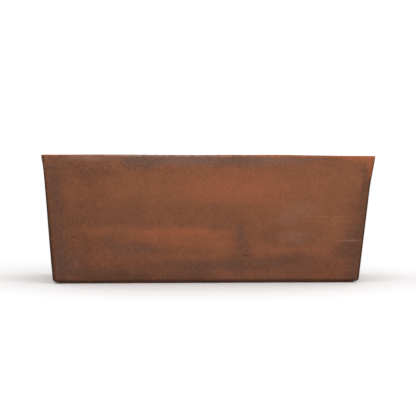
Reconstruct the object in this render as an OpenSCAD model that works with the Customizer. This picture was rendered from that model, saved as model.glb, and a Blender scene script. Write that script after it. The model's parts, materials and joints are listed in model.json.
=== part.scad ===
// A long, low planter of weathering steel. Its four folded walls lean outwards, mitre at the corners and
// are welded there. A loose base plate lies on the returns of the walls, held by nuts on weld studs, and
// flat runners lift the whole off the ground for drainage. A bolted tie bar keeps the long walls straight.
// +Z is up, the front faces -Y, and the origin is on the ground under the middle of the planter.

/* [Overall size] */
// Length over the rim, to the sharp edges that its bend rounds off
rim_len = 1200; // [900:10:1500]
// Depth over the rim, front to back, to the same edges
rim_depth = 500; // [420:10:600]
// Height from the ground to the rim
height = 465; // [360:5:600]
// How far each wall slopes inwards between the rim and the base
taper = 43; // [30:1:60]

/* [Folded walls] */
// Thickness of the sheet
sheet_t = 3; // [2:0.5:4]
// Outside radius of the bend where a wall turns under the base
base_bend_r = 14; // [8:0.5:15]
// Outside radius of the bend at the rim
rim_bend_r = 4.5; // [4.5:0.5:8]
// Width of the return under the base
base_return_w = 60; // [56:1:66]
// Width of the folded rim
rim_return_w = 35; // [30:1:40]
// Radius of the weld up the inside of each corner
corner_weld_r = 5; // [3:0.5:6]

/* [Base] */
// Thickness of the base plate
base_plate_t = 3; // [2:0.5:5]
// Gap between the base plate and the bends of the walls
base_plate_gap = 2; // [1:0.5:5]
// Diameter of a drainage hole
drain_d = 22; // [10:1:30]
// Drainage holes in each row along the base
drain_columns = 5; // [2:1:6]
// Distance between the drainage holes of a row
drain_pitch = 180; // [60:5:190]
// Distance between the two rows of drainage holes
drain_row_pitch = 140; // [80:5:180]

/* [Runners] */
// Thickness of the runners
runner_t = 4; // [3:0.5:8]
// Width of the runners
runner_w = 30; // [24:1:32]
// Distance from the foot of a wall to the edge of its runner
runner_set_in = 14; // [13:0.5:16]
// Distance from the foot of an end wall to the end of a runner
runner_end_gap = 19; // [14:1:40]
// Drainage gap between the two runners under a long wall
runner_middle_gap = 42; // [20:1:120]
// Radius of the stitch welds along the runners
runner_weld_r = 2.8; // [2:0.2:2.8]
// Length of a stitch weld
runner_weld_len = 30; // [15:1:50]
// Stitch welds along each edge of a runner
runner_weld_count = 4; // [2:1:6]
// Diameter of the ground anchor holes
anchor_d = 14; // [10:1:14]
// Distance from the middle to an anchor hole, along the planter
anchor_x = 440; // [200:5:460]

/* [Base fixings] */
// Diameter of the weld studs
stud_d = 8; // [6:1:8]
// Length of the weld studs
stud_len = 16; // [14:1:30]
// Distance from the foot of a wall to its studs
stud_set_in = 50; // [46:1:54]
// Distance from the middle to the outer studs of a long wall
stud_x = 350; // [150:5:400]

/* [Tie bar] */
// Depth of the bar, top to bottom
tie_h = 40; // [30:1:60]
// Thickness of the bar and of its cleats
tie_t = 5; // [4:0.5:8]
// Distance from the rim down to the top of the bar
tie_drop = 30; // [15:1:80]
// Gap between the end of the bar and the wall
tie_end_gap = 14; // [8:1:18]
// Length of a cleat, from the wall to its free end
cleat_len = 78; // [76:1:110]
// Diameter of the tie bar bolts
tie_bolt_d = 10; // [8:1:12]
// Distance between the two bolts at one end of the bar
tie_bolt_pitch = 32; // [30:1:34]

/* [Rim gussets] */
// Length of the two square edges of a gusset
gusset_len = 120; // [115:1:130]
// Thickness of a gusset
gusset_t = 4; // [3:0.5:6]
// Gap between a gusset and the outside of the rim
gusset_gap = 9; // [8:1:12]
// Diameter of the lifting hole in a gusset
lift_hole_d = 14; // [8:1:14]
// Distance from both outer edges of the rim to a lifting hole
lift_hole_in = 52; // [50:1:54]

/* [Hidden] */
$fn = 96;
steel = [0.46, 0.29, 0.21];
dark_steel = [0.33, 0.21, 0.16];
weld_metal = [0.27, 0.19, 0.16];
fixing_metal = [0.62, 0.62, 0.60];

// How far a cutting tool runs past the face that it cuts
overcut = 1;
base_z = runner_t;
foot_len = rim_len - 2 * taper;
foot_depth = rim_depth - 2 * taper;
lean = atan(taper / (height - base_z));
// Thickness of a leaning wall, measured level
wall_level_t = sheet_t / cos(lean);
// Centres of a wall's two bends: inwards from the outer edge of the rim, and up from the ground
base_bend = [taper + base_bend_r * (1 / cos(lean) - tan(lean)), base_z + base_bend_r];
rim_bend = [rim_bend_r * (1 / cos(lean) + tan(lean)), height - rim_bend_r];
// Length of the flat slope between the two bends
slope_len = (base_bend.x - rim_bend.x) * sin(lean) + (rim_bend.y - base_bend.y) * cos(lean);

plate_z = base_z + sheet_t;
plate_top = plate_z + base_plate_t;
plate_len = rim_len - 2 * (base_bend.x + base_plate_gap);
plate_depth = rim_depth - 2 * (base_bend.x + base_plate_gap);

runner_len = (foot_len - runner_middle_gap) / 2 - runner_end_gap;
runner_mid_x = (runner_middle_gap + runner_len) / 2;
runner_mid_y = foot_depth / 2 - runner_set_in - runner_w / 2;
anchor_in_runner = anchor_x - runner_mid_x;

stud_y = foot_depth / 2 - stud_set_in;
stud_end_x = foot_len / 2 - stud_set_in;
stud_places = [
    for (x = [-stud_x, 0, stud_x], y = [-stud_y, stud_y]) [x, y],
    for (x = [-stud_end_x, stud_end_x]) [x, 0]
];
// A bolt hole's diameter, less the bolt's
bolt_clearance = 1;
stud_washer_d = 2 * stud_d;
stud_washer_t = 1.6;
// A hexagon's size across corners, from its size across flats
corners_over_flats = 2 / sqrt(3);
nut_flats_over_bolt = 1.625;
nut_t_over_bolt = 0.8;

tie_top = height - tie_drop;
tie_mid_z = tie_top - tie_h / 2;
// Half the clear depth between the long walls, at the bottom of the tie bar
tie_half_depth = rim_depth / 2 - wall_level_t - tan(lean) * (tie_drop + tie_h);
tie_bolt_end_distance = 18;
tie_bolt_inner_y = tie_half_depth - cleat_len + tie_bolt_end_distance;
tie_bolt_places = [
    for (side = [-1, 1], step = [0, 1]) [side * (tie_bolt_inner_y + step * tie_bolt_pitch), tie_mid_z]
];
tie_washer_t = 2;
tie_bolt_head_t = 6.4;
tie_bolt_tip = 3;
cleat_cut = 8;

// The corner welds stop short of the bends and the gussets
weld_end_gap = 5;
weld_bottom = base_z + base_bend_r + weld_end_gap;
weld_top = height - sheet_t - gusset_t - weld_end_gap;

// Width of a gusset's two blunt ends
gusset_nose = 12;

// ---- Folded walls ----

// A bend of sheet about the origin, anticlockwise from one direction to another.
module bend(r, from, to) {
    intersection() {
        difference() {
            circle(r);
            circle(r - sheet_t);
        }
        rotate(from) translate([-2 * r, 0]) square([4 * r, 2 * r]);
        rotate(to) translate([-2 * r, -2 * r]) square([4 * r, 2 * r]);
    }
}

// The section of a wall. X runs inwards from the outer edge of the rim, Y up from the ground.
// It is drawn in the frame of the leaning slope, and both returns are turned level again.
module wall_section() {
    translate(base_bend) rotate(lean) {
        rotate(-lean) translate([0, -base_bend_r])
            square([taper + base_return_w - base_bend.x, sheet_t]);
        bend(base_bend_r, 180, 270 - lean);
        translate([-base_bend_r, 0]) square([sheet_t, slope_len]);
        translate([rim_bend_r - base_bend_r, slope_len]) {
            bend(rim_bend_r, 90 - lean, 180);
            rotate(-lean) translate([0, rim_bend_r - sheet_t])
                square([rim_return_w - rim_bend.x, sheet_t]);
        }
    }
}

// A whole wall on the -Y side, mitred at both ends: its length at the rim, and the rim's distance
// from the middle.
module wall(length, out) {
    reach = taper + 2 * base_return_w;
    intersection() {
        rotate([90, 0, 90]) linear_extrude(length, center = true) translate([-out, 0]) wall_section();
        linear_extrude(height + overcut) polygon([
            [-length / 2, -out], [length / 2, -out],
            [length / 2 - reach, reach - out], [reach - length / 2, reach - out]
        ]);
    }
}

// A long wall, with ground anchor holes through its base return.
module front_panel() {
    color(steel) difference() {
        wall(rim_len, rim_depth / 2);
        for (side = [-1, 1])
            translate([side * anchor_x, -runner_mid_y, 0]) cylinder(h = plate_z + overcut, d = anchor_d);
    }
}

module back_panel() { rotate(180) front_panel(); }

module left_end_panel() { color(steel) rotate(-90) wall(rim_depth, rim_len / 2); }

module right_end_panel() { rotate(180) left_end_panel(); }

// ---- Corner welds ----

module cavity_section(half) {
    top = half - wall_level_t;
    polygon([[taper - top, base_z], [top - taper, base_z], [top, height], [-top, height]]);
}

// The space between the inner faces of the four walls.
module cavity() {
    intersection() {
        rotate([90, 0, 0]) linear_extrude(rim_depth, center = true) cavity_section(rim_len / 2);
        rotate([90, 0, 90]) linear_extrude(rim_len, center = true) cavity_section(rim_depth / 2);
    }
}

// The weld up the inside of one corner. side_x and side_y are -1 or 1, and pick the corner.
module corner_weld(side_x, side_y) {
    foot = [side_x * (foot_len / 2 - wall_level_t), side_y * (foot_depth / 2 - wall_level_t), base_z];
    edge_tilt = atan(sqrt(2) * taper / (height - base_z));
    color(weld_metal) intersection() {
        cavity();
        translate(foot) rotate([0, edge_tilt, atan2(side_y, side_x)])
            cylinder(h = height / cos(edge_tilt), r = corner_weld_r);
        translate([-rim_len / 2, -rim_depth / 2, weld_bottom])
            cube([rim_len, rim_depth, weld_top - weld_bottom]);
    }
}

// ---- Base plate and its fixings ----

module base_plate() {
    color(steel) translate([0, 0, plate_z]) linear_extrude(base_plate_t) difference() {
        square([plate_len, plate_depth], center = true);
        for (place = stud_places) translate(place) circle(d = stud_d + bolt_clearance);
        for (side_x = [-1, 1], side_y = [-1, 1])
            translate([side_x * anchor_x, side_y * runner_mid_y]) circle(d = anchor_d);
        for (column = [0:drain_columns - 1], side_y = [-1, 1])
            translate([
                (column - (drain_columns - 1) / 2) * drain_pitch, side_y * drain_row_pitch / 2
            ]) circle(d = drain_d);
    }
}

module at_studs(z) {
    for (place = stud_places) translate([place.x, place.y, z]) children();
}

module base_studs() { color(dark_steel) at_studs(plate_z) cylinder(h = stud_len, d = stud_d); }

module washer(bore_d, outer_d, t) {
    linear_extrude(t) difference() {
        circle(d = outer_d);
        circle(d = bore_d);
    }
}

// A hexagon nut that fits a bolt of the given diameter.
module nut(bolt_d) {
    linear_extrude(nut_t_over_bolt * bolt_d) difference() {
        circle(d = nut_flats_over_bolt * bolt_d * corners_over_flats, $fn = 6);
        circle(d = bolt_d);
    }
}

module base_washers() {
    color(fixing_metal) at_studs(plate_top) washer(stud_d + bolt_clearance, stud_washer_d, stud_washer_t);
}

module base_nuts() { color(fixing_metal) at_studs(plate_top + stud_washer_t) nut(stud_d); }

// ---- Runners ----

// One flat runner. side_x and side_y are -1 or 1, and pick the runner.
module runner(side_x, side_y) {
    color(dark_steel) translate([side_x * runner_mid_x, side_y * runner_mid_y, 0]) linear_extrude(runner_t)
        difference() {
            square([runner_len, runner_w], center = true);
            translate([side_x * anchor_in_runner, 0]) circle(d = anchor_d);
        }
}

// A stitch weld along X, in the corner under a return. It fills the -Y side of a runner's edge.
module stitch(length) {
    rotate([90, 0, 90]) linear_extrude(length, center = true) intersection() {
        circle(runner_weld_r);
        translate([-runner_weld_r, -runner_weld_r]) square(runner_weld_r);
    }
}

// The welds that hold one runner: stitches along both edges, and one across its outer end.
module runner_weld_set() {
    pitch = (runner_len - runner_weld_len) / (runner_weld_count - 1);
    for (i = [0:runner_weld_count - 1], turn = [0, 180])
        rotate(turn) translate([(i - (runner_weld_count - 1) / 2) * pitch, -runner_w / 2, 0])
            stitch(runner_weld_len);
    translate([-runner_len / 2, 0, 0]) rotate(-90) stitch(runner_w);
}

module runner_welds() {
    color(weld_metal) for (mirror_x = [0, 1], side_y = [-1, 1])
        mirror([mirror_x, 0, 0]) translate([-runner_mid_x, side_y * runner_mid_y, base_z]) runner_weld_set();
}

// ---- Tie bar ----

module at_tie_bolts(x) {
    for (place = tie_bolt_places) translate([x, place.x, place.y]) rotate([0, 90, 0]) children();
}

module tie_bar() {
    half = tie_half_depth - tie_end_gap;
    color(steel) difference() {
        translate([-tie_t, -half, tie_top - tie_h]) cube([tie_t, 2 * half, tie_h]);
        at_tie_bolts(-tie_t - overcut) cylinder(h = tie_t + 2 * overcut, d = tie_bolt_d + bolt_clearance);
    }
}

// The cleat on the front wall: a plate square to the wall, with its free corners cut off.
module front_cleat() {
    free_y = cleat_len - tie_half_depth;
    low = tie_top - tie_h;
    color(dark_steel) difference() {
        intersection() {
            cavity();
            rotate([90, 0, 90]) linear_extrude(tie_t) polygon([
                [-rim_depth / 2, low], [free_y - cleat_cut, low], [free_y, low + cleat_cut],
                [free_y, tie_top - cleat_cut], [free_y - cleat_cut, tie_top], [-rim_depth / 2, tie_top]
            ]);
        }
        at_tie_bolts(-overcut) cylinder(h = tie_t + 2 * overcut, d = tie_bolt_d + bolt_clearance);
    }
}

module back_cleat() { mirror([0, 1, 0]) front_cleat(); }

// A hexagon bolt along Z. The shank goes up from the origin, and the head down.
module bolt(d, length) {
    cylinder(h = length, d = d);
    translate([0, 0, -tie_bolt_head_t]) linear_extrude(tie_bolt_head_t)
        circle(d = nut_flats_over_bolt * d * corners_over_flats, $fn = 6);
}

module tie_bolts() {
    length = 2 * tie_t + tie_washer_t + nut_t_over_bolt * tie_bolt_d + tie_bolt_tip;
    color(fixing_metal) at_tie_bolts(-tie_t) bolt(tie_bolt_d, length);
}

module tie_washers() {
    color(fixing_metal) at_tie_bolts(tie_t) washer(tie_bolt_d + bolt_clearance, 2 * tie_bolt_d, tie_washer_t);
}

module tie_nuts() { color(fixing_metal) at_tie_bolts(tie_t + tie_washer_t) nut(tie_bolt_d); }

// ---- Rim gussets ----

// The triangular plate under one corner of the rim, with a lifting hole.
module gusset(side_x, side_y) {
    color(steel) mirror([side_x > 0 ? 1 : 0, 0, 0]) mirror([0, side_y > 0 ? 1 : 0, 0])
        translate([gusset_gap - rim_len / 2, gusset_gap - rim_depth / 2, height - sheet_t - gusset_t])
            linear_extrude(gusset_t) difference() {
                polygon([
                    [0, 0], [gusset_len, 0], [gusset_len, gusset_nose],
                    [gusset_nose, gusset_len], [0, gusset_len]
                ]);
                translate([lift_hole_in - gusset_gap, lift_hole_in - gusset_gap]) circle(d = lift_hole_d);
            }
}

front_panel();
back_panel();
left_end_panel();
right_end_panel();
corner_weld(-1, -1);  // front_left_corner_weld
corner_weld(1, -1);  // front_right_corner_weld
corner_weld(-1, 1);  // back_left_corner_weld
corner_weld(1, 1);  // back_right_corner_weld
base_plate();
base_studs();
base_washers();
base_nuts();
runner(-1, -1);  // front_left_runner
runner(1, -1);  // front_right_runner
runner(-1, 1);  // back_left_runner
runner(1, 1);  // back_right_runner
runner_welds();
tie_bar();
front_cleat();
back_cleat();
tie_bolts();
tie_washers();
tie_nuts();
gusset(-1, -1);  // front_left_gusset
gusset(1, -1);  // front_right_gusset
gusset(-1, 1);  // back_left_gusset
gusset(1, 1);  // back_right_gusset
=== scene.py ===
"""Looks for an empty planter box of weathering steel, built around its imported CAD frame.

The folded walls, the welds and the fixings are rebuilt as detailed meshes that replace their CAD nodes.
The plates, bars and runners keep their CAD shape and get softened edges. All materials are procedural,
in metres of the shared frame. The long front wall faces -Y and has stains of its own.
"""

import json
import math

import bmesh
import bpy
from mathutils import Matrix, Vector, noise


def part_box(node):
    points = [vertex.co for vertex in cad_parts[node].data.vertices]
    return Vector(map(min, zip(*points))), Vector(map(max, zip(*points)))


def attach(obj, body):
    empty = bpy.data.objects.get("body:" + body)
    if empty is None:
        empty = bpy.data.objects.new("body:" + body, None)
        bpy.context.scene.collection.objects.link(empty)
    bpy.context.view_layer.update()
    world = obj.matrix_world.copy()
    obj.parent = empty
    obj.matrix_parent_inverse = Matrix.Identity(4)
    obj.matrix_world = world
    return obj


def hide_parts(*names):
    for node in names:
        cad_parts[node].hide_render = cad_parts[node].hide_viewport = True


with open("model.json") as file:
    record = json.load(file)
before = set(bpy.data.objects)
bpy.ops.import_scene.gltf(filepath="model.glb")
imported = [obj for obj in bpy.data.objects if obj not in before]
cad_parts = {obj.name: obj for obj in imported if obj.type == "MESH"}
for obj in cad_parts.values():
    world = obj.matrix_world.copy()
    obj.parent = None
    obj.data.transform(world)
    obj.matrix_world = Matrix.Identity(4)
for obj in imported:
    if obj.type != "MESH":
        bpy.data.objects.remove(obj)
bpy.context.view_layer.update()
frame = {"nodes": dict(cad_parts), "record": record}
nodes = frame["nodes"]

# ---- Sizes, in metres ----

# The folded sheet. The foot is set in from the rim by the taper, and an upright corner loses a share of
# its radius over the rim's bend.
SHEET = 0.003
BASE_BEND_R = 0.014
RIM_BEND_R = 0.0045
RIM_RETURN = 0.035
BASE_RETURN = 0.060
TAPER = 0.043
CORNER_R = 0.007
CORNER_LOSS_AT_RIM = 0.6

# Weld beads: radius, and the distance from one ripple to the next
CORNER_WELD_R = 0.005
CORNER_WELD_RIPPLE = 0.0032
RUNNER_WELD_R = 0.0028
RUNNER_WELD_RIPPLE = 0.0030

# M8 weld studs in the base, and M10 bolts at the tie bar. Flats is a hexagon's size across flats.
STUD_D = 0.008
STUD_PITCH = 0.00125
STUD_NUT_FLATS = 0.013
STUD_WASHER_BORE = 0.009
BOLT_D = 0.010
BOLT_PITCH = 0.0015
BOLT_PLAIN_LENGTH = 0.009
BOLT_HEAD_T = 0.0064
BOLT_FLATS = 0.01625
BOLT_WASHER_BORE = 0.011

# The softened edge of the plates, bars and runners
PLATE_EDGE_R = 0.0005

RUNNERS = ("front_left_runner", "front_right_runner", "back_left_runner", "back_right_runner")

# Heights taken from the frame: the rim's top, the underside of the base returns and the cleats' middle
RIM_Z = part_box("front_panel")[1][2]
BASE_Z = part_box("front_left_runner")[1][2]
CLEAT_Z = (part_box("front_cleat")[0][2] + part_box("front_cleat")[1][2]) / 2

# Worked out from these. The walls' outer faces, if they went on to the rim's height without a bend, would
# meet it at HALF_LEN and HALF_DEPTH. The two bends' centres are this far in from there.
SLOPE = TAPER / (RIM_Z - BASE_Z)
LEAN = math.atan(SLOPE)
RIM_BEND_IN = RIM_BEND_R * (1 / math.cos(LEAN) + math.tan(LEAN))
BASE_BEND_IN = TAPER + BASE_BEND_R * (1 / math.cos(LEAN) - math.tan(LEAN))
RIM_OVERSHOOT = RIM_BEND_IN - RIM_BEND_R
HALF_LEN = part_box("front_panel")[1][0] + RIM_OVERSHOOT
HALF_DEPTH = -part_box("front_panel")[0][1] + RIM_OVERSHOOT

# ---- How far welding has pulled the shell out of true ----

# Distances, in metres
LEFT_FOOT_OUT = 0.0027
LEFT_DRAWN_IN = 0.0047
LEFT_LIP_OUT = 0.0026
RIGHT_DRAWN_IN = 0.0012
RIGHT_LIP_OUT = 0.0064
RIM_CREST = 0.0020
RIM_DROOP = 0.0016

# The heights between which each one grows, as shares of the planter's height
LEFT_DRAWN_SPAN = (0.10, 0.85)
LEFT_LIP_SPAN = (0.88, 1.0)
RIGHT_LIP_SPAN = (0.74, 1.0)
RIM_SPAN = (0.9, 1.0)

# Where they are felt along the planter: towards the ends, as shares of half its length, and on the rim,
# in metres
ENDS_SPAN = (0.35, 1.0)
CREST_X = 0.22
CREST_REACH = 0.30
DROOP_FROM_X = -0.35

# Waves of the sheet: height in metres, and noise scale along the wall and up it
WALL_BROAD_WAVE = 0.0014
WALL_BROAD_SCALE = (2.1, 2.6)
WALL_FINE_WAVE = 0.0005
WALL_FINE_SCALE = (7.0, 8.0)
RIM_WAVE = 0.0007
RIM_WAVE_SCALE = 9

# The waves are whole between two heights, and off the corners and the cleat, in metres
WAVES_FROM_Z = 0.09
WAVES_TO_Z = 0.40
WAVES_OFF_CORNER = 0.09
WAVES_OFF_CLEAT = (0.04, 0.12)

# ---- Mesh detail ----

MERGE_DIST = 1e-6
PLATE_MERGE_DIST = 1e-5
TOUCH_DIST = 1e-4
PLATE_EDGE_SEGMENTS = 2
COLUMN_PITCH = 0.006
LEAST_COLUMNS = 24
LEAST_BEAD_STEPS = 8
BASE_RETURN_STEPS = 6
BASE_BEND_STEPS = 7
FACE_STEPS = 44
RIM_BEND_STEPS = 6
RIM_RETURN_STEPS = 4
CORNER_STEPS_DEG = (15, 30, 45)
RING_COUNT = 48
ROD_RING_COUNT = 20
RINGS_PER_THREAD = 5
BEAD_ARC_STEPS = 6
BEAD_STEPS_PER_RIPPLE = 4

# Edges that turn by more than this stay sharp
WALL_SHARP_DEG = 50
WELD_SHARP_DEG = 60
FIXING_SHARP_DEG = 30
PLATE_SHARP_DEG = 40

# Neighbouring faces of a plate that turn by less than this are one flat
FLAT_DEG = 1


def smooth(low, high, value):
    """0 at low and 1 at high, with a gentle ramp between. low may be the larger."""
    t = min(1.0, max(0.0, (value - low) / (high - low)))
    return t * t * (3 - 2 * t)


def settle(point):
    """Moves a point of the welded shell to where the heat of welding has pulled it. The left end is
    drawn in below its lip, the right end springs out towards the rim, and the rim isn't quite level."""
    x, y, z = point
    height = z / RIM_Z
    if x < 0:
        push = LEFT_FOOT_OUT - LEFT_DRAWN_IN * smooth(*LEFT_DRAWN_SPAN, height)
        push += LEFT_LIP_OUT * smooth(*LEFT_LIP_SPAN, height)
    else:
        push = RIGHT_LIP_OUT * smooth(*RIGHT_LIP_SPAN, height) - RIGHT_DRAWN_IN
    share = smooth(*ENDS_SPAN, abs(x) / HALF_LEN) * math.copysign(1, x)
    crest = RIM_CREST * smooth(CREST_REACH, 0, abs(x - CREST_X))
    droop = RIM_DROOP * smooth(DROOP_FROM_X, -HALF_LEN, x)
    return Vector((x + push * share, y, z + (crest - droop) * smooth(*RIM_SPAN, height)))


def wave(x, z, seed):
    """How far the flat of a wall stands out of true."""
    broad_x, broad_z = WALL_BROAD_SCALE
    fine_x, fine_z = WALL_FINE_SCALE
    broad = noise.noise(Vector((x * broad_x, z * broad_z, seed)))
    fine = noise.noise(Vector((x * fine_x, z * fine_z, seed + 9.0)))
    return WALL_BROAD_WAVE * broad + WALL_FINE_WAVE * fine


# ---- Meshes ----


def new_piece(name, verts, faces, material, sharp_deg):
    """A new object from vertices and faces, smooth but for edges that turn by more than sharp_deg."""
    mesh = bpy.data.meshes.new(name)
    mesh.from_pydata([tuple(v) for v in verts], [], faces)
    bm = bmesh.new()
    bm.from_mesh(mesh)
    bmesh.ops.remove_doubles(bm, verts=bm.verts, dist=MERGE_DIST)
    bmesh.ops.recalc_face_normals(bm, faces=bm.faces)
    bm.to_mesh(mesh)
    bm.free()
    mesh.shade_smooth()
    mesh.set_sharp_from_angle(angle=math.radians(sharp_deg))
    mesh.materials.append(material)
    piece = bpy.data.objects.new(name, mesh)
    bpy.context.scene.collection.objects.link(piece)
    return piece


def stands_for(piece, node):
    """Puts a piece in the place of a CAD node."""
    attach(piece, "root")
    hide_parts(node)


def joined(parts):
    """The vertices and faces of several parts as one."""
    verts, faces = [], []
    for more_verts, more_faces in parts:
        first = len(verts)
        verts += more_verts
        faces += [tuple(first + i for i in face) for face in more_faces]
    return verts, faces


def placed(part, matrix):
    """A part's vertices moved by a matrix, and its faces."""
    verts, faces = part
    return [matrix @ v for v in verts], faces


def rings_mesh(rings, closed_ends=True):
    """Skins a list of rings of equal length. The two ends are closed with a face each, or else the last
    ring is joined to the first, as the wall of a bore joins the outside."""
    count = len(rings[0])
    verts = [v for points in rings for v in points]
    faces = []
    spans = len(rings) - 1 if closed_ends else len(rings)
    for i in range(spans):
        j = (i + 1) % len(rings)
        for k in range(count):
            n = (k + 1) % count
            faces.append((i * count + k, i * count + n, j * count + n, j * count + k))
    if closed_ends:
        faces.append(tuple(range(count)))
        faces.append(tuple(spans * count + k for k in range(count)))
    return verts, faces


def ring(radius, z, count=RING_COUNT):
    """One ring about Z. radius and z are numbers, or functions of the angle."""
    points = []
    for k in range(count):
        a = 2 * math.pi * k / count
        r = radius(a) if callable(radius) else radius
        h = z(a) if callable(z) else z
        points.append(Vector((r * math.cos(a), r * math.sin(a), h)))
    return points


def drill(piece, places, radius, low, high, sharp_deg):
    """Cuts round holes along Z through a piece, at each (x, y) of places."""
    pins = []
    for x, y in places:
        pin = rings_mesh([ring(radius, low), ring(radius, high)])
        pins.append(placed(pin, Matrix.Translation((x, y, 0))))
    verts, faces = joined(pins)
    cutter = new_piece("drill", verts, faces, piece.data.materials[0], sharp_deg)
    cut = piece.modifiers.new("holes", "BOOLEAN")
    cut.operation = "DIFFERENCE"
    cut.solver = "EXACT"
    cut.object = cutter
    depsgraph = bpy.context.evaluated_depsgraph_get()
    drilled = bpy.data.meshes.new_from_object(piece.evaluated_get(depsgraph))
    piece.modifiers.remove(cut)
    piece.data = drilled
    bpy.data.objects.remove(cutter)
    drilled.set_sharp_from_angle(angle=math.radians(sharp_deg))


# ---- Walls ----


def arc(centre, r, start, end, steps):
    """Points round an arc, in degrees, as (inwards, up)."""
    points = []
    for i in range(steps + 1):
        a = math.radians(start + (end - start) * i / steps)
        points.append((centre[0] + r * math.cos(a), centre[1] + r * math.sin(a)))
    return points


def line(a, b, steps):
    """The points between a and b, without a and b themselves."""
    return [(a[0] + (b[0] - a[0]) * i / steps, a[1] + (b[1] - a[1]) * i / steps) for i in range(1, steps)]


def wall_side(depth):
    """The wall's section from the base return to the rim return, as (inwards, up), at a depth of 0 on
    the outer face, or of SHEET on the inner face."""
    base = (BASE_BEND_IN, BASE_Z + BASE_BEND_R)
    rim = (RIM_BEND_IN, RIM_Z - RIM_BEND_R)
    lean = math.degrees(LEAN)
    base_arc = arc(base, BASE_BEND_R - depth, 270, 180 + lean, BASE_BEND_STEPS)
    rim_arc = arc(rim, RIM_BEND_R - depth, 180 + lean, 90, RIM_BEND_STEPS)
    foot = (TAPER + BASE_RETURN, BASE_Z + depth)
    lip = (RIM_RETURN, RIM_Z - depth)
    base_return = [foot] + line(foot, base_arc[0], BASE_RETURN_STEPS)
    face = line(base_arc[-1], rim_arc[0], FACE_STEPS)
    rim_return = line(rim_arc[-1], lip, RIM_RETURN_STEPS) + [lip]
    return base_return + base_arc + face + rim_arc + rim_return


def corner_radius(inwards, up, depth):
    """The radius of the upright corner at one point of the section. It fades out along the returns."""
    r = CORNER_R - depth
    if up > RIM_Z - RIM_BEND_R:
        over_rim = 1 - CORNER_LOSS_AT_RIM * smooth(RIM_Z - RIM_BEND_R, RIM_Z, up)
        return r * over_rim * (1 - smooth(RIM_BEND_IN, RIM_RETURN, inwards))
    if up < BASE_Z + BASE_BEND_R:
        return r * (1 - smooth(BASE_BEND_IN, TAPER + BASE_RETURN, inwards))
    return r


def wall_point(half_length, out, inwards, up, along, corner_turn, depth):
    """One point of a wall on the -Y side. along is -1 to 1 over the flat stretch, and corner_turn is the
    angle round the corner, up to 45 degrees at the mitre."""
    r = corner_radius(inwards, up, depth)
    x = (half_length - inwards - r) * along
    y = inwards - out
    if corner_turn:
        x += math.copysign(r * math.sin(corner_turn), along)
        y += r * (1 - math.cos(corner_turn))
    return Vector((x, y, up))


def out_of_true(point, half_length, inwards, seed):
    """Adds the waves of the flat face and of the rim to a point of the wall on the -Y side. They fade
    out at the bends, at the corners and round the cleat."""
    x, y, up = point
    above_base = smooth(BASE_Z + BASE_BEND_R, WAVES_FROM_Z, up)
    below_rim = 1 - smooth(WAVES_TO_Z, RIM_Z - RIM_BEND_R, up)
    off_corner = smooth(0, WAVES_OFF_CORNER, half_length - inwards - abs(x))
    off_cleat = smooth(*WAVES_OFF_CLEAT, math.hypot(x, up - CLEAT_Z))
    face = wave(x, up, seed) * (above_base * below_rim) * off_corner * off_cleat
    rim = RIM_WAVE * noise.noise(Vector((x * RIM_WAVE_SCALE, seed, 0))) * smooth(WAVES_TO_Z, RIM_Z, up)
    return Vector((x, y - face, up + rim * off_corner))


def sheet_faces(count, rows):
    """The faces of a closed sheet of two layers of rows by count points, the outer layer first."""
    inner = rows * count
    faces = []
    for row in range(rows - 1):
        for col in range(count - 1):
            a = row * count + col
            faces.append((a, a + 1, a + count + 1, a + count))
            faces.append((inner + a, inner + a + count, inner + a + count + 1, inner + a + 1))
        for col in (0, count - 1):
            a = row * count + col
            faces.append((a, a + count, inner + a + count, inner + a))
    for row in (0, rows - 1):
        for col in range(count - 1):
            a = row * count + col
            faces.append((a, a + 1, inner + a + 1, inner + a))
    return faces


def folded_wall(name, half_length, out, turn, seed, material):
    """A whole folded wall as one closed sheet. It is made on the -Y side, out from the middle of the
    planter, and then turned about Z to its own side."""
    flat = max(LEAST_COLUMNS, round(half_length / COLUMN_PITCH))
    columns = [(-1, math.radians(a)) for a in reversed(CORNER_STEPS_DEG)]
    columns += [(-1 + 2 * i / flat, 0.0) for i in range(flat + 1)]
    columns += [(1, math.radians(a)) for a in CORNER_STEPS_DEG]
    rotation = Matrix.Rotation(turn, 3, "Z")
    verts = []
    for depth in (0.0, SHEET):
        for inwards, up in wall_side(depth):
            for along, corner_turn in columns:
                point = wall_point(half_length, out, inwards, up, along, corner_turn, depth)
                point = out_of_true(point, half_length, inwards, seed)
                verts.append(settle(rotation @ point))
    rows = len(wall_side(0.0))
    piece = new_piece(name + "_folded", verts, sheet_faces(len(columns), rows), material, WALL_SHARP_DEG)
    stands_for(piece, name)
    return piece


# ---- Welds ----

# A bead's radius, as shares of its full one: along its run, how far it swells with each ripple and at
# random, and at its two ends
BEAD_SIZE = 0.86
BEAD_SWELL = 0.10
BEAD_WOBBLE = 0.10
BEAD_WOBBLE_SCALE = 60
BEAD_END_SIZE = 0.35


def bead(path, side_a, side_b, r, ripple, seed):
    """A rippled quarter-round weld between two faces. path(t) is the line where they meet, for t from
    0 to 1, and the sides point away from it along each face."""
    length = (path(1.0) - path(0.0)).length
    steps = max(LEAST_BEAD_STEPS, round(BEAD_STEPS_PER_RIPPLE * length / ripple))
    rings = []
    for i in range(steps + 1):
        t = i / steps
        run = t * length
        wobble = noise.noise(Vector((seed, BEAD_WOBBLE_SCALE * run, 0)))
        swell = BEAD_SIZE + BEAD_SWELL * math.sin(2 * math.pi * run / ripple) + BEAD_WOBBLE * wobble
        ends = min(1.0, BEAD_END_SIZE + (1 - BEAD_END_SIZE) * min(run, length - run) / r)
        root = path(t)
        points = [root]
        for k in range(BEAD_ARC_STEPS + 1):
            a = math.pi / 2 * k / BEAD_ARC_STEPS
            points.append(root + (side_a * math.cos(a) + side_b * math.sin(a)) * r * swell * ends)
        rings.append(points)
    return rings_mesh(rings)


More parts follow.
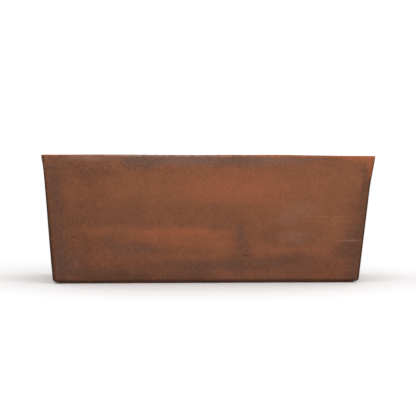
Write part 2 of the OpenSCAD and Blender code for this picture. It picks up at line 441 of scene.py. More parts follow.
def inner_corner(side_x, side_y, up):
    """A point on the line where the inner faces of two walls meet."""
    inwards = SLOPE * (RIM_Z - up) + SHEET / math.cos(LEAN)
    return settle((side_x * (HALF_LEN - inwards), side_y * (HALF_DEPTH - inwards), up))


def corner_weld(name, side_x, side_y, material):
    """The weld up the inside of one corner."""
    low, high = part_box(name)

    def path(t):
        return inner_corner(side_x, side_y, low[2] + (high[2] - low[2]) * t)

    along_x = Vector((-side_x, 0, 0))
    along_y = Vector((0, -side_y, 0))
    seed = 3 * side_x + side_y
    verts, faces = bead(path, along_x, along_y, CORNER_WELD_R, CORNER_WELD_RIPPLE, seed)
    piece = new_piece(name + "_rippled", verts, faces, material, WELD_SHARP_DEG)
    stands_for(piece, name)


def solids(node):
    """The boxes of a CAD node's separate solids, as (low, high) vectors."""
    bm = bmesh.new()
    bm.from_mesh(nodes[node].data)
    bmesh.ops.remove_doubles(bm, verts=bm.verts, dist=MERGE_DIST)
    left = set(bm.verts)
    boxes = []
    while left:
        group, stack = [], [left.pop()]
        while stack:
            v = stack.pop()
            group.append(v.co.copy())
            for e in v.link_edges:
                other = e.other_vert(v)
                if other in left:
                    left.remove(other)
                    stack.append(other)
        low = Vector([min(c[i] for c in group) for i in range(3)])
        high = Vector([max(c[i] for c in group) for i in range(3)])
        boxes.append((low, high))
    bm.free()
    return sorted(boxes, key=lambda box: tuple(box[0]))


def stitch_line(low, high):
    """A stitch weld's line, from start to end, and the side it fills. It lies along the top edge of a
    runner's long side or of its end, whichever its box touches."""
    size = high - low
    if size.x > size.y:
        on_inner_side = any(abs(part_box(runner)[1][1] - low.y) < TOUCH_DIST for runner in RUNNERS)
        y, side = (low.y, Vector((0, 1, 0))) if on_inner_side else (high.y, Vector((0, -1, 0)))
        return Vector((low.x, y, high.z)), Vector((high.x, y, high.z)), side
    leftwards = low.x < 0
    x, side = (high.x, Vector((-1, 0, 0))) if leftwards else (low.x, Vector((1, 0, 0)))
    return Vector((x, low.y, high.z)), Vector((x, high.y, high.z)), side


def runner_stitches(material):
    """The stitch welds along the runners, each in the corner under a return."""
    parts = []
    for seed, (low, high) in enumerate(solids("runner_welds")):
        start, end, side = stitch_line(low, high)
        parts.append(bead(
            lambda t: start.lerp(end, t), side, Vector((0, 0, -1)), RUNNER_WELD_R, RUNNER_WELD_RIPPLE, seed
        ))
    verts, faces = joined(parts)
    piece = new_piece("runner_welds_rippled", verts, faces, material, WELD_SHARP_DEG)
    stands_for(piece, "runner_welds")


# ---- Fixings ----

# A hexagon's chamfer leaves a round face, whose size is a share of the hexagon's size across flats.
CHAMFER_FACE = 0.97
CHAMFER_DEG = 30

# A nut's countersink and bore, as shares of the bolt's radius, and a washer's softened edge, as a share
# of its thickness
NUT_COUNTERSINK = 0.12
NUT_BORE = 1.003
WASHER_EDGE = 0.18

# Under a bolt's head is a raised washer face: its height in metres, and its size as a share of the round
# face. The head's flat top has a ring inside it, also as a share of the round face.
WASHER_FACE_T = 0.0004
WASHER_FACE = 0.98
TOP_RING = 0.7

# A thread's depth as a share of its pitch, and a rod's tip: its length as a share of the rod's diameter,
# and its radius at the very end as a share of the rod's
THREAD_DEPTH = 0.30
TIP_LENGTH = 0.10
TIP_END = 0.65

# Each fixing is turned by this much more than the last, as hand-tightened fixings are at all angles.
SPIN_DEG = 37.0


def hexagon(flats):
    """The radius of a hexagon of the given size across flats, as a function of the angle."""
    return lambda a: flats / 2 / math.cos((a % (math.pi / 3)) - math.pi / 6)


def chamfer_height(flats, z, direction):
    """The height where the chamfer cuts a hexagon's side, as a function of the angle."""
    side = hexagon(flats)
    slope = math.tan(math.radians(CHAMFER_DEG))
    return lambda a: z + direction * (side(a) - CHAMFER_FACE * flats / 2) * slope


def hex_nut(bolt_d, flats, height):
    """A nut with chamfered corners and a countersunk bore."""
    side = hexagon(flats)
    face = CHAMFER_FACE * flats / 2
    mouth = bolt_d / 2 * (1 + NUT_COUNTERSINK)
    depth = bolt_d / 2 * NUT_COUNTERSINK
    bore = bolt_d / 2 * NUT_BORE
    return rings_mesh([
        ring(mouth, 0), ring(face, 0), ring(side, chamfer_height(flats, 0, 1)),
        ring(side, chamfer_height(flats, height, -1)), ring(face, height), ring(mouth, height),
        ring(bore, height - depth), ring(bore, depth)
    ], closed_ends=False)


def hex_head(flats, height):
    """A bolt's head, with its washer face down."""
    side = hexagon(flats)
    face = CHAMFER_FACE * flats / 2
    return rings_mesh([
        ring(face * WASHER_FACE, 0), ring(face * WASHER_FACE, WASHER_FACE_T), ring(side, WASHER_FACE_T),
        ring(side, chamfer_height(flats, height, -1)), ring(face, height), ring(face * TOP_RING, height)
    ])


def plain_washer(bore_d, outer_d, t):
    """A washer with softened edges."""
    soft = t * WASHER_EDGE
    outer, bore = outer_d / 2, bore_d / 2
    return rings_mesh([
        ring(bore, soft), ring(bore + soft, 0), ring(outer - soft, 0), ring(outer, soft),
        ring(outer, t - soft), ring(outer - soft, t), ring(bore + soft, t), ring(bore, t - soft)
    ], closed_ends=False)


def threaded_rod(d, length, pitch, plain=0.0):
    """A rod along Z with a rolled thread beyond its plain stretch, and a chamfered tip."""
    depth = THREAD_DEPTH * pitch
    steps = round((length - plain) / pitch * RINGS_PER_THREAD)
    rings = [ring(d / 2, 0, ROD_RING_COUNT)]
    if plain:
        rings.append(ring(d / 2, plain, ROD_RING_COUNT))
    for i in range(steps + 1):
        z = plain + (length - plain) * i / steps
        tip = min(1.0, (length - z) / (TIP_LENGTH * d) * (1 - TIP_END) + TIP_END)

        def radius(a, z=z, tip=tip):
            phase = (z / pitch - a / (2 * math.pi)) % 1.0
            return (d / 2 - depth * abs(2 * phase - 1)) * tip

        rings.append(ring(radius, z, ROD_RING_COUNT))
    return rings_mesh(rings)


def hex_bolt(size):
    """A bolt along Z with its head at the low end. size is the box of a bolt that lies along X."""
    head_verts, head_faces = hex_head(BOLT_FLATS, BOLT_HEAD_T)
    head = ([Vector((v.x, v.y, BOLT_HEAD_T - v.z)) for v in head_verts], head_faces)
    rod = threaded_rod(BOLT_D, size.x - BOLT_HEAD_T, BOLT_PITCH, plain=BOLT_PLAIN_LENGTH)
    return joined([head, placed(rod, Matrix.Translation((0, 0, BOLT_HEAD_T)))])


def fixing(node, make, facing, material):
    """Replaces each solid of a node with make(size), where size is the solid's box. It is set on the
    solid's low end and stands along facing, which is X or Z."""
    parts = []
    for index, (low, high) in enumerate(solids(node)):
        mid = (low + high) / 2
        spin = Matrix.Rotation(math.radians(SPIN_DEG * index), 4, "Z")
        if facing == "Z":
            place = Matrix.Translation((mid.x, mid.y, low.z)) @ spin
        else:
            on_its_side = Matrix.Rotation(math.pi / 2, 4, "Y")
            place = Matrix.Translation((low.x, mid.y, mid.z)) @ on_its_side @ spin
        parts.append(placed(make(high - low), place))
    verts, faces = joined(parts)
    piece = new_piece(node + "_detailed", verts, faces, material, FIXING_SHARP_DEG)
    stands_for(piece, node)


# ---- Materials ----


def srgb(r, g, b):
    """A colour from its 0-255 display values."""
    def linear(v):
        v /= 255
        return v / 12.92 if v <= 0.04045 else ((v + 0.055) / 1.055) ** 2.4
    return (linear(r), linear(g), linear(b), 1.0)


class Shader:
    """A short way to write a node tree. Most methods add a node and return its output socket."""

    def __init__(self, name):
        self.material = bpy.data.materials.new(name)
        self.material.use_nodes = True
        self.tree = self.material.node_tree
        self.bsdf = self.tree.nodes["Principled BSDF"]
        self.place = self.node("ShaderNodeTexCoord").outputs["Object"]

    def node(self, kind, **settings):
        """Adds a node and returns the node itself."""
        made = self.tree.nodes.new(kind)
        for key, value in settings.items():
            setattr(made, key, value)
        return made

    def put(self, socket, value):
        """Links a socket to an input, or sets the input to a plain value."""
        if isinstance(value, bpy.types.NodeSocket):
            self.tree.links.new(value, socket)
        else:
            socket.default_value = value

    def math(self, operation, a, b=0.0):
        made = self.node("ShaderNodeMath", operation=operation)
        self.put(made.inputs[0], a)
        self.put(made.inputs[1], b)
        return made.outputs[0]

    def times(self, first, *others):
        product = first
        for other in others:
            product = self.math("MULTIPLY", product, other)
        return product

    def vector(self, operation, a, b=(0, 0, 0)):
        made = self.node("ShaderNodeVectorMath", operation=operation)
        self.put(made.inputs[0], a)
        self.put(made.inputs[1], b)
        return made.outputs["Value"] if operation == "LENGTH" else made.outputs[0]

    def axes(self, vector=None):
        """The X, Y and Z of a vector, or else of the place in metres."""
        made = self.node("ShaderNodeSeparateXYZ")
        self.put(made.inputs[0], vector or self.place)
        return made.outputs

    def noise(self, scale, detail=3.0, roughness=0.55, stretch=(1, 1, 1), distortion=0.0, shift=(0, 0, 0)):
        made = self.node("ShaderNodeTexNoise")
        at = self.vector("ADD", self.vector("MULTIPLY", self.place, stretch), shift)
        self.put(made.inputs["Vector"], at)
        made.inputs["Scale"].default_value = scale
        made.inputs["Detail"].default_value = detail
        made.inputs["Roughness"].default_value = roughness
        made.inputs["Distortion"].default_value = distortion
        return made.outputs[0]

    def range(self, value, low, high, to_low=0.0, to_high=1.0):
        """to_low at low and to_high at high, with a gentle ramp between. low may be the larger."""
        made = self.node("ShaderNodeMapRange", interpolation_type="SMOOTHSTEP")
        self.put(made.inputs["Value"], value)
        for key, amount in (("From Min", low), ("From Max", high), ("To Min", to_low), ("To Max", to_high)):
            self.put(made.inputs[key], amount)
        return made.outputs[0]

    def band(self, value, begins, full, fades, gone):
        """0 up to begins, 1 from full to fades, and 0 again from gone."""
        return self.times(self.range(value, begins, full), self.range(value, gone, fades))

    def mix(self, amount, a, b):
        made = self.node("ShaderNodeMix", data_type="RGBA", blend_type="MIX")
        self.put(made.inputs[0], amount)
        self.put(made.inputs[6], a)
        self.put(made.inputs[7], b)
        return made.outputs[2]

    def warped(self, amount, scale):
        """The place in metres, pushed about by coloured noise, so that edges of stains wander."""
        made = self.node("ShaderNodeTexNoise")
        self.put(made.inputs["Vector"], self.place)
        made.inputs["Scale"].default_value = scale
        made.inputs["Detail"].default_value = 4.0
        made.inputs["Roughness"].default_value = 0.65
        push = self.vector("SUBTRACT", made.outputs["Color"], (0.5, 0.5, 0.5))
        return self.vector("ADD", self.place, self.vector("MULTIPLY", push, (amount, amount, amount)))

    def finish(self, colour, roughness, bump_height, bump_distance, specular=0.3):
        """Connects the surface. bump_distance is the relief's depth in metres."""
        self.put(self.bsdf.inputs["Base Color"], colour)
        self.bsdf.inputs["Specular IOR Level"].default_value = specular
        self.put(self.bsdf.inputs["Roughness"], roughness)
        bump = self.node("ShaderNodeBump")
        bump.inputs["Strength"].default_value = 1.0
        bump.inputs["Distance"].default_value = bump_distance
        self.put(bump.inputs["Height"], bump_height)
        self.put(self.bsdf.inputs["Normal"], bump.outputs[0])
        return self.material


# Colours of the patina
BROWN = srgb(106, 67, 46)
ORANGE = srgb(133, 79, 51)
BRIGHT = srgb(153, 85, 53)
# Fresh rust, also the colour of the painted highlight along the rim
FRESH_RUST_AND_HIGHLIGHT = srgb(176, 94, 55)
DARK = srgb(81, 53, 40)
PURPLE = srgb(88, 62, 51)
SLATE = srgb(112, 84, 71)
PALE = srgb(138, 98, 80)
DEEP = srgb(54, 35, 25)
RED = srgb(112, 61, 37)
UMBER = srgb(97, 59, 37)
# Painted shade of the rounded upright corners
EDGE_SHADE_BROWN = srgb(84, 46, 22)
EDGE_SHADE_DARK = srgb(46, 27, 14)
# The pale of the painted highlight along the front rim
RIM_HIGHLIGHT_PALE = srgb(168, 134, 118)
HEAT_BROWN = srgb(84, 57, 45)

# Colours of the runners, the welds and the dull zinc
# The runners' colours are lightened: painted light against the contact shadow they sit in
RUNNER_LIT_BROWN = srgb(114, 68, 46)
RUNNER_LIT_ORANGE = srgb(140, 84, 56)
WELD_GREY = srgb(62, 48, 46)
WELD_BROWN = srgb(104, 66, 48)
WELD_RUST = srgb(140, 92, 66)
ZINC_PALE = srgb(150, 148, 142)
ZINC_DULL = srgb(118, 112, 104)
ZINC_RUST = srgb(122, 70, 44)

# Stains of the front wall, the first laid down first: middle (x, z) and half-size (x, z) in metres,
# colour, strength, and softness from 0, a hard edge, to 1, which fades from the middle outwards.
FRONT_STAINS = [
    # The broad tone: bright towards the upper right, duller to the left and along the foot
    ((0.14, 0.34), (0.52, 0.17), ORANGE, 0.75, 0.8),
    ((0.09, 0.345), (0.24, 0.055), BRIGHT, 0.45, 0.8),
    ((0.40, 0.37), (0.18, 0.08), ORANGE, 0.4, 0.8),
    ((-0.53, 0.22), (0.21, 0.30), UMBER, 0.75, 0.8),
    ((-0.20, 0.25), (0.33, 0.055), BROWN, 0.5, 0.7),
    ((0.10, 0.235), (0.14, 0.06), BROWN, 0.25, 0.7),
    ((0.05, 0.04), (0.56, 0.065), DARK, 0.35, 0.6),
    ((0.57, 0.17), (0.09, 0.18), DARK, 0.55, 0.8),
    # Along the rim
    ((-0.115, 0.452), (0.30, 0.026), SLATE, 0.85, 0.5),
    ((-0.245, 0.438), (0.080, 0.028), PURPLE, 0.55, 0.6),
    ((0.145, 0.452), (0.25, 0.030), SLATE, 0.70, 0.6),
    ((0.090, 0.437), (0.10, 0.022), DARK, 0.35, 0.8),
    ((-0.450, 0.452), (0.075, 0.014), PALE, 0.75, 0.7),
    ((-0.430, 0.405), (0.10, 0.040), DARK, 0.24, 0.8),
    ((-0.345, 0.440), (0.020, 0.030), ORANGE, 0.40, 0.8),
    ((-0.490, 0.340), (0.035, 0.085), ORANGE, 0.35, 0.8),
    # The middle: a bright lens, a dark cone and pale rubbed patches
    ((-0.33, 0.192), (0.18, 0.020), ORANGE, 0.60, 0.8),
    ((-0.10, 0.162), (0.21, 0.042), BRIGHT, 0.45, 0.60),
    ((-0.08, 0.186), (0.18, 0.012), BRIGHT, 0.50, 0.8),
    ((0.122, 0.145), (0.032, 0.055), PURPLE, 0.40, 0.7),
    ((0.115, 0.190), (0.014, 0.045), PURPLE, 0.40, 0.8),
    ((0.345, 0.268), (0.065, 0.030), PALE, 0.35, 0.8),
    ((0.290, 0.232), (0.060, 0.028), PALE, 0.30, 0.8),
    ((0.320, 0.172), (0.070, 0.026), PALE, 0.35, 0.8),
    ((0.470, 0.225), (0.09, 0.05), ORANGE, 0.3, 0.8),
    # The lower part
    ((0.150, 0.055), (0.34, 0.046), PURPLE, 0.45, 0.45),
    ((0.350, 0.128), (0.12, 0.012), ORANGE, 0.55, 0.7),
    ((0.300, 0.092), (0.10, 0.018), DARK, 0.35, 0.6),
    ((0.450, 0.045), (0.08, 0.036), RED, 0.50, 0.6),
    ((0.512, 0.112), (0.060, 0.042), DARK, 0.50, 0.6),
    ((0.540, 0.042), (0.050, 0.062), DARK, 0.60, 0.7),
    ((-0.275, 0.130), (0.13, 0.028), PURPLE, 0.45, 0.7),
    ((-0.380, 0.072), (0.15, 0.022), RED, 0.45, 0.6),
    ((-0.070, 0.098), (0.13, 0.022), ORANGE, 0.50, 0.8),
    ((0.190, 0.030), (0.17, 0.024), ORANGE, 0.42, 0.8),
    ((-0.505, 0.060), (0.075, 0.050), PURPLE, 0.60, 0.6),
    ((-0.430, 0.030), (0.12, 0.020), DEEP, 0.20, 0.6),
    ((-0.320, 0.038), (0.035, 0.018), DARK, 0.50, 0.6),
    ((-0.210, 0.018), (0.22, 0.020), DEEP, 0.25, 0.55),
]

# Marks laid over everything else, in the same form: fresh rust, pale scratches and dark scabs.
FRONT_MARKS = [
    ((0.555, 0.456), (0.075, 0.014), FRESH_RUST_AND_HIGHLIGHT, 0.50, 0.8),
    ((0.590, 0.430), (0.020, 0.050), FRESH_RUST_AND_HIGHLIGHT, 0.42, 0.8),
    ((0.442, 0.2445), (0.085, 0.0022), PALE, 0.45, 0.5),
    ((0.512, 0.1560), (0.050, 0.0024), PALE, 0.60, 0.5),
    ((-0.491, 0.362), (0.0025, 0.0080), DEEP, 0.55, 0.5),
    ((-0.180, 0.220), (0.0018, 0.0120), DEEP, 0.45, 0.5),
    ((-0.205, 0.165), (0.0030, 0.0060), DEEP, 0.50, 0.5),
    ((0.145, 0.102), (0.0200, 0.0050), DEEP, 0.35, 0.8),
    ((-0.385, 0.259), (0.0020, 0.0030), PALE, 0.35, 0.5),
]

# The thin painted highlight along the front rim has a paler stretch, in the same form.
FRONT_RIM_HIGHLIGHT = [
    ((-0.17, RIM_Z), (0.28, 0.05), RIM_HIGHLIGHT_PALE, 0.85, 0.7),
]

# The other walls share a plainer set of stains, placed along each wall.
PLAIN_STAINS = [
    ((0.20, 0.32), (0.40, 0.12), ORANGE, 0.7, 0.8),
    ((-0.25, 0.22), (0.30, 0.06), BROWN, 0.5, 0.7),
    ((0.05, 0.15), (0.18, 0.035), BRIGHT, 0.5, 0.6),
    ((-0.05, 0.452), (0.30, 0.026), SLATE, 0.8, 0.5),
    ((0.10, 0.040), (0.40, 0.045), PURPLE, 0.6, 0.5),
    ((-0.36, 0.035), (0.12, 0.040), DEEP, 0.5, 0.6),
    ((0.30, 0.400), (0.08, 0.030), DARK, 0.4, 0.7),
]


# The scale beside a wall's upright edges: the distances from the edge where it begins, is full, starts to
# fade and is gone, in metres
LEFT_SCALE = (0.010, 0.026, 0.032, 0.075)
RIGHT_SCALE = (0.006, 0.020, 0.026, 0.046)


def lay_stains(shader, place, colour, stains):
    """Lays elliptical stains over a colour. place has the run along the wall as x."""
    for (at_run, at_z), (half_run, half_z), stain_colour, strength, softness in stains:
        offset = shader.vector("SUBTRACT", place, (at_run, 0, at_z))
        far = shader.vector("LENGTH", shader.vector("MULTIPLY", offset, (1 / half_run, 0, 1 / half_z)))
        amount = shader.range(far, 1 + softness / 2, 1 - softness, 0, strength)
        colour = shader.mix(amount, colour, stain_colour)
    return colour


def heat_scale_and_edge_shade(shader, colour, run, height, half, veil):
    """The scale that the corner welds leave beside each upright edge, then painted shade of the rounded
    upright
    corner: a browner strip between the scale and the edge, and a dark line on the edge itself. On the right
    of each wall the scale is narrower."""
    lean_in = shader.times(shader.math("SUBTRACT", RIM_Z, height), SLOPE)
    edge = shader.math("SUBTRACT", shader.math("SUBTRACT", half, lean_in), shader.math("ABSOLUTE", run))
    rightwards = shader.range(run, -0.1, 0.1)
    leftwards = shader.math("SUBTRACT", 1.0, rightwards)
    below_rim = shader.range(height, RIM_Z - 0.020, RIM_Z - 0.055)
    patchy = shader.range(veil, 0.35, 0.60, 0.85, 0.50)
    strength = shader.times(below_rim, patchy)
    left_scale = shader.times(shader.band(edge, *LEFT_SCALE), leftwards, strength)
    colour = shader.mix(left_scale, colour, HEAT_BROWN)

    worn_low_down = shader.range(height, 0.38, 0.24, 1.0, 0.40)
    right_scale = shader.times(shader.band(edge, *RIGHT_SCALE), worn_low_down, rightwards, strength)
    colour = shader.mix(right_scale, colour, DARK)

    # Painted shade of the rounded upright corner: a browner strip towards the edge, and a dark line on the
    # edge, fainter near the rim
    painted_edge_shade = shader.range(edge, 0.020, 0.007, 0, 0.65)
    colour = shader.mix(painted_edge_shade, colour, EDGE_SHADE_BROWN)
    painted_shade_line = shader.range(edge, 0.012, 0.003, 0, 0.90)
    fainter_at_rim = shader.range(height, RIM_Z - 0.10, RIM_Z - 0.01, 1.0, 0.55)
    return shader.mix(shader.times(painted_shade_line, fainter_at_rim), colour, EDGE_SHADE_DARK)


def rim_highlight_and_rust(shader, colour, height, shift, rim_highlights):
    """A painted highlight along the rim's outer arris, broken by flecks of new rust, and fainter flecks on
    top of the rim.
    """
    place = shader.axes()
    in_x = shader.math("SUBTRACT", HALF_LEN, shader.math("ABSOLUTE", place[0]))
    in_y = shader.math("SUBTRACT", HALF_DEPTH, shader.math("ABSOLUTE", place[1]))
    inwards = shader.math("MINIMUM", in_x, in_y)
    at_rim = shader.range(height, RIM_Z - 0.0075, RIM_Z - 0.0045)
    at_arris = shader.range(inwards, 0.010, 0.005, 0.25, 1.0)
    flecks = shader.range(shader.noise(60.0, 4, 0.7, shift=shift), 0.42, 0.58, 0.25, 0.95)
    highlight_and_new_rust = lay_stains(shader, shader.place, FRESH_RUST_AND_HIGHLIGHT, rim_highlights)
    return shader.mix(shader.times(at_rim, at_arris, flecks), colour, highlight_and_new_rust)


def speckled(shader, colour, height, mottle, grain):
    """Speckle over everything, from blotches down to grain, and strongest below the rim."""
    colour = shader.mix(shader.range(mottle, 0.52, 0.72, 0, 0.35), colour, DARK)
    colour = shader.mix(shader.range(mottle, 0.48, 0.30, 0, 0.30), colour, ORANGE)
    under_rim = (RIM_Z - 0.080, RIM_Z - 0.030)
    dark_grain = shader.range(height, *under_rim, 0.42, 0.66)
    pale_grain = shader.range(height, *under_rim, 0.46, 0.90)
    colour = shader.mix(shader.times(shader.range(grain, 0.50, 0.68), dark_grain), colour, DEEP)
    return shader.mix(shader.times(shader.range(grain, 0.50, 0.32), pale_grain), colour, PALE)


def patina(name, along_y, seed, stains, marks=(), rim_highlights=()):
    """The rust skin of one wall, with painted shade at its upright corners and in its base bend, and a
    painted highlight along its rim. A stain's x runs along the wall, which is along Y on an end wall.
    """
    shader = Shader(name)
    shift = (seed * 3.7, seed * 1.9, seed * 2.3)
    place = shader.axes()
    run = place[1] if along_y else place[0]
    height = place[2]
    warped = shader.warped(0.045, 9.0)
    if along_y:
        moved = shader.axes(warped)
        turned = shader.node("ShaderNodeCombineXYZ")
        shader.put(turned.inputs[0], moved[1])
        shader.put(turned.inputs[2], moved[2])
        warped = turned.outputs[0]

    # Clouds of brown and orange, longest along the wall, with the wall's own stains over them
    cloud = shader.noise(4.0, 5, 0.62, stretch=(1, 1, 2.0), distortion=0.5, shift=shift)
    colour = shader.mix(shader.range(cloud, 0.38, 0.64, 0.15, 0.75), BROWN, ORANGE)
    colour = lay_stains(shader, warped, colour, stains)
    veil = shader.noise(13.0, 6, 0.68, stretch=(1, 1, 1.5), distortion=0.4, shift=shift)
    colour = shader.mix(shader.range(veil, 0.50, 0.72, 0, 0.25), colour, BRIGHT)
    colour = shader.mix(shader.range(veil, 0.48, 0.30, 0, 0.20), colour, PURPLE)

    # Faint run-off streaks, strongest near the foot
    streak = shader.noise(45.0, 4, 0.7, stretch=(1, 1, 0.09), distortion=0.3, shift=shift)
    foot = shader.range(height, 0.12, 0.02, 0.03, 0.28)
    colour = shader.mix(shader.times(shader.range(streak, 0.50, 0.68), foot), colour, DARK)

    half = HALF_DEPTH if along_y else HALF_LEN
    # Heat scale beside the upright edges, and painted shade of the rounded corners
    colour = heat_scale_and_edge_shade(shader, colour, run, height, half, veil)
    # Painted shade in the base bend, darker towards the foot
    painted_bend_shade = shader.range(height, 0.020, 0.009, 0, 0.75)
    colour = shader.mix(painted_bend_shade, colour, DEEP)
    # Painted highlight along the rim's arris, with flecks of new rust
    colour = rim_highlight_and_rust(shader, colour, height, shift, rim_highlights)
    colour = lay_stains(shader, shader.place, colour, marks)

    mottle = shader.noise(80.0, 5, 0.75, shift=shift)
    grain = shader.noise(210.0, 4, 0.9, shift=shift)
    colour = speckled(shader, colour, height, mottle, grain)

    roughness = shader.range(veil, 0.3, 0.7, 0.85, 0.68)
    pits = shader.math("ADD", shader.times(mottle, 0.6), shader.times(grain, 0.4))
    return shader.finish(colour, roughness, pits, bump_distance=0.0006, specular=0.18)


def plate_steel(name, first, second, seed):
    """Rusted plate for the inner pieces and runners."""
    shader = Shader(name)
    shift = (seed * 2.9, seed * 1.3, seed * 4.1)
    cloud = shader.noise(11.0, 5, 0.65, distortion=0.5, shift=shift)
    colour = shader.mix(shader.range(cloud, 0.35, 0.65), first, second)
    mottle = shader.noise(90.0, 5, 0.7, shift=shift)
    colour = shader.mix(shader.range(mottle, 0.50, 0.75, 0, 0.45), colour, DEEP)
    grain = shader.noise(600.0, 3, 0.8, shift=shift)
    colour = shader.mix(shader.range(grain, 0.48, 0.25, 0, 0.35), colour, PALE)
    pits = shader.math("ADD", mottle, shader.times(grain, 0.5))
    return shader.finish(colour, roughness=0.8, bump_height=pits, bump_distance=0.0004)


def weld_steel():
    """Grey-brown weld metal with rust on its grain."""
    shader = Shader("weld_steel")
    tint = shader.noise(70.0, 4, 0.7)
    colour = shader.mix(shader.range(tint, 0.35, 0.65), WELD_GREY, WELD_BROWN)
    grain = shader.noise(900.0, 3, 0.7)
    colour = shader.mix(shader.range(grain, 0.55, 0.8, 0, 0.5), colour, WELD_RUST)
    return shader.finish(colour, roughness=0.62, bump_height=grain, bump_distance=0.0003)


def zinc():
    """Dull zinc plating, with spots of rust that aren't metallic."""
    shader = Shader("dull_zinc")
    cloud = shader.noise(120.0, 4, 0.6)
    colour = shader.mix(shader.range(cloud, 0.4, 0.7), ZINC_PALE, ZINC_DULL)
    rust = shader.noise(260.0, 4, 0.7, shift=(3, 1, 4))
    spots = shader.range(rust, 0.58, 0.70)
    colour = shader.mix(spots, colour, ZINC_RUST)
    shader.put(shader.bsdf.inputs["Metallic"], shader.range(spots, 0.0, 1.0, 0.85, 0.1))
    roughness = shader.range(cloud, 0.3, 0.7, 0.38, 0.55)
    return shader.finish(colour, roughness, rust, bump_distance=0.0001)


# ---- The object ----


def drill_anchor_holes(front_wall, back_wall):
    """Cuts the ground anchors' holes through the long walls' base returns, where the record has them."""
    anchors = next(m["dims"] for m in frame["record"]["mounts"] if m["name"] == "ground_anchors")

    # The record's values are in millimetres. Half a spacing is the distance from the middle.
    half_x = anchors["spacing_x_mm"] / 2000
    half_y = anchors["spacing_y_mm"] / 2000
    radius = anchors["hole_r_mm"] / 1000

    above_return = 2 * (BASE_Z + SHEET)
    for wall, y in ((front_wall, -half_y), (back_wall, half_y)):
        drill(wall, [(-half_x, y), (half_x, y)], radius, 0, above_return, WALL_SHARP_DEG)


def soften(node, material):
    """Gives a plate, bar or runner its material, whole flat faces and softened edges."""
    kept = nodes[node]
    for slot in kept.material_slots:
        slot.material = material
    weld = kept.modifiers.new("weld", "WELD")
    weld.merge_threshold = PLATE_MERGE_DIST
    flats = kept.modifiers.new("whole_flats", "DECIMATE")
    flats.decimate_type = "DISSOLVE"
    flats.angle_limit = math.radians(FLAT_DEG)
    bevel = kept.modifiers.new("soft_edges", "BEVEL")
    bevel.width = PLATE_EDGE_R
    bevel.segments = PLATE_EDGE_SEGMENTS
    bevel.limit_method = "ANGLE"
    bevel.angle_limit = math.radians(PLATE_SHARP_DEG)
    normals = kept.modifiers.new("flat_shading", "WEIGHTED_NORMAL")
    normals.keep_sharp = True


front_skin = patina("patina_front", False, 0, FRONT_STAINS, marks=FRONT_MARKS, rim_highlights=FRONT_RIM_HIGHLIGHT)
back_skin = patina("patina_back", False, 1, PLAIN_STAINS)
left_skin = patina("patina_left", True, 2, PLAIN_STAINS)
right_skin = patina("patina_right", True, 3, PLAIN_STAINS)
inner_steel = plate_steel("inner_plate", BROWN, ORANGE, seed=1)
# The runner plate carries painted light: its colours are lightened against its contact shadow
runner_steel = plate_steel("runner_plate", RUNNER_LIT_BROWN, RUNNER_LIT_ORANGE, seed=2)
weld_metal = weld_steel()
zinc_metal = zinc()

front_wall = folded_wall("front_panel", HALF_LEN, HALF_DEPTH, 0, 1.0, front_skin)
back_wall = folded_wall("back_panel", HALF_LEN, HALF_DEPTH, math.pi, 5.0, back_skin)
folded_wall("left_end_panel", HALF_DEPTH, HALF_LEN, -math.pi / 2, 11.0, left_skin)
folded_wall("right_end_panel", HALF_DEPTH, HALF_LEN, math.pi / 2, 17.0, right_skin)
drill_anchor_holes(front_wall, back_wall)

for side_name, side_y in (("front", -1), ("back", 1)):
    for end_name, side_x in (("left", -1), ("right", 1)):
        corner_weld(f"{side_name}_{end_name}_corner_weld", side_x, side_y, weld_metal)
runner_stitches(weld_metal)

fixing(
    "base_studs", lambda size: threaded_rod(size.x, size.z, STUD_PITCH), "Z",
    weld_metal
)
fixing(
    "base_washers", lambda size: plain_washer(STUD_WASHER_BORE, size.x, size.z), "Z",
    zinc_metal
)
fixing(
    "base_nuts", lambda size: hex_nut(STUD_D, STUD_NUT_FLATS, size.z), "Z",
    zinc_metal
)
fixing(
    "tie_washers", lambda size: plain_washer(BOLT_WASHER_BORE, size.y, size.x), "X",
    zinc_metal
)
fixing(
    "tie_nuts", lambda size: hex_nut(BOLT_D, BOLT_FLATS, size.x), "X",
    zinc_metal
)
fixing("tie_bolts", hex_bolt, "X", zinc_metal)

INNER_PLATES = (
    "base_plate", "tie_bar", "front_cleat", "back_cleat",
    "front_left_gusset", "front_right_gusset", "back_left_gusset", "back_right_gusset",
)
for plate in INNER_PLATES:
    soften(plate, inner_steel)
for runner in RUNNERS:
    soften(runner, runner_steel)

# ---- Floor, light and camera ----

FLOOR_REACH = 30.0
FLOOR_WHITE = (0.95, 0.95, 0.95, 1)
STUDIO_WHITE = (1, 1, 1, 1)
STUDIO_STRENGTH = 1.06
SOFTBOX_SIZE = 2.0
LIT_POINT = Vector((0, -0.2, 0.25))
CAMERA_PLACE = Vector((-0.40, -4.5, 0.42))
CAMERA_TARGET = Vector((-0.006, -HALF_DEPTH, 0.275))
CAMERA_ROLL_DEG = 0.27
LENS_MM = 103.0
SENSOR_MM = 36.0


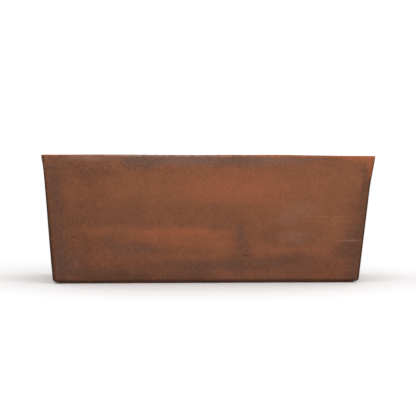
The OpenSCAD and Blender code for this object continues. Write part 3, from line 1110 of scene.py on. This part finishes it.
def lay_floor():
    """A plain pale floor, wide enough to reach past every view."""
    reach = FLOOR_REACH
    corners = [(-reach, -reach, 0), (reach, -reach, 0), (reach, reach, 0), (-reach, reach, 0)]
    floor_mesh = bpy.data.meshes.new("floor")
    floor_mesh.from_pydata(corners, [], [(0, 1, 2, 3)])
    floor = bpy.data.objects.new("floor", floor_mesh)
    bpy.context.scene.collection.objects.link(floor)
    paint = bpy.data.materials.new("floor_paint")
    paint.use_nodes = True
    bsdf = paint.node_tree.nodes["Principled BSDF"]
    bsdf.inputs["Base Color"].default_value = FLOOR_WHITE
    bsdf.inputs["Roughness"].default_value = 0.9
    bsdf.inputs["Specular IOR Level"].default_value = 0.1
    floor_mesh.materials.append(paint)


def studio():
    """Soft white light from all round."""
    world = bpy.data.worlds.new("studio")
    world.use_nodes = True
    background = world.node_tree.nodes["Background"]
    background.inputs["Color"].default_value = STUDIO_WHITE
    background.inputs["Strength"].default_value = STUDIO_STRENGTH
    bpy.context.scene.world = world
    bpy.context.scene.view_settings.view_transform = "Standard"


def softbox(name, place, power):
    """A square softbox that faces the planter, with its power in watts."""
    light = bpy.data.lights.new(name, "AREA")
    light.shape = "RECTANGLE"
    light.size = SOFTBOX_SIZE
    light.size_y = SOFTBOX_SIZE
    light.energy = power
    lamp = bpy.data.objects.new(name, light)
    lamp.location = place
    lamp.rotation_euler = (LIT_POINT - Vector(place)).to_track_quat("-Z", "Y").to_euler()
    bpy.context.scene.collection.objects.link(lamp)


def photographer():
    """A long lens just below the height of the rim, left of the middle and not quite level."""
    forward = (CAMERA_TARGET - CAMERA_PLACE).normalized()
    right = forward.cross(Vector((0, 0, 1))).normalized()
    up = right.cross(forward)
    roll = math.radians(CAMERA_ROLL_DEG)
    across = right * math.cos(roll) + up * math.sin(roll)
    upright = up * math.cos(roll) - right * math.sin(roll)
    camera = bpy.data.objects.new("camera", bpy.data.cameras.new("camera"))
    camera.data.sensor_width = SENSOR_MM
    camera.data.lens = LENS_MM
    rotation = Matrix((across, upright, -forward)).transposed()
    camera.matrix_world = Matrix.Translation(CAMERA_PLACE) @ rotation.to_4x4()
    bpy.context.scene.collection.objects.link(camera)
    bpy.context.scene.camera = camera


lay_floor()
studio()
softbox("key", place=(2.6, -3.2, 2.6), power=25)
softbox("fill", place=(-2.8, -3.0, 1.6), power=8)
photographer()
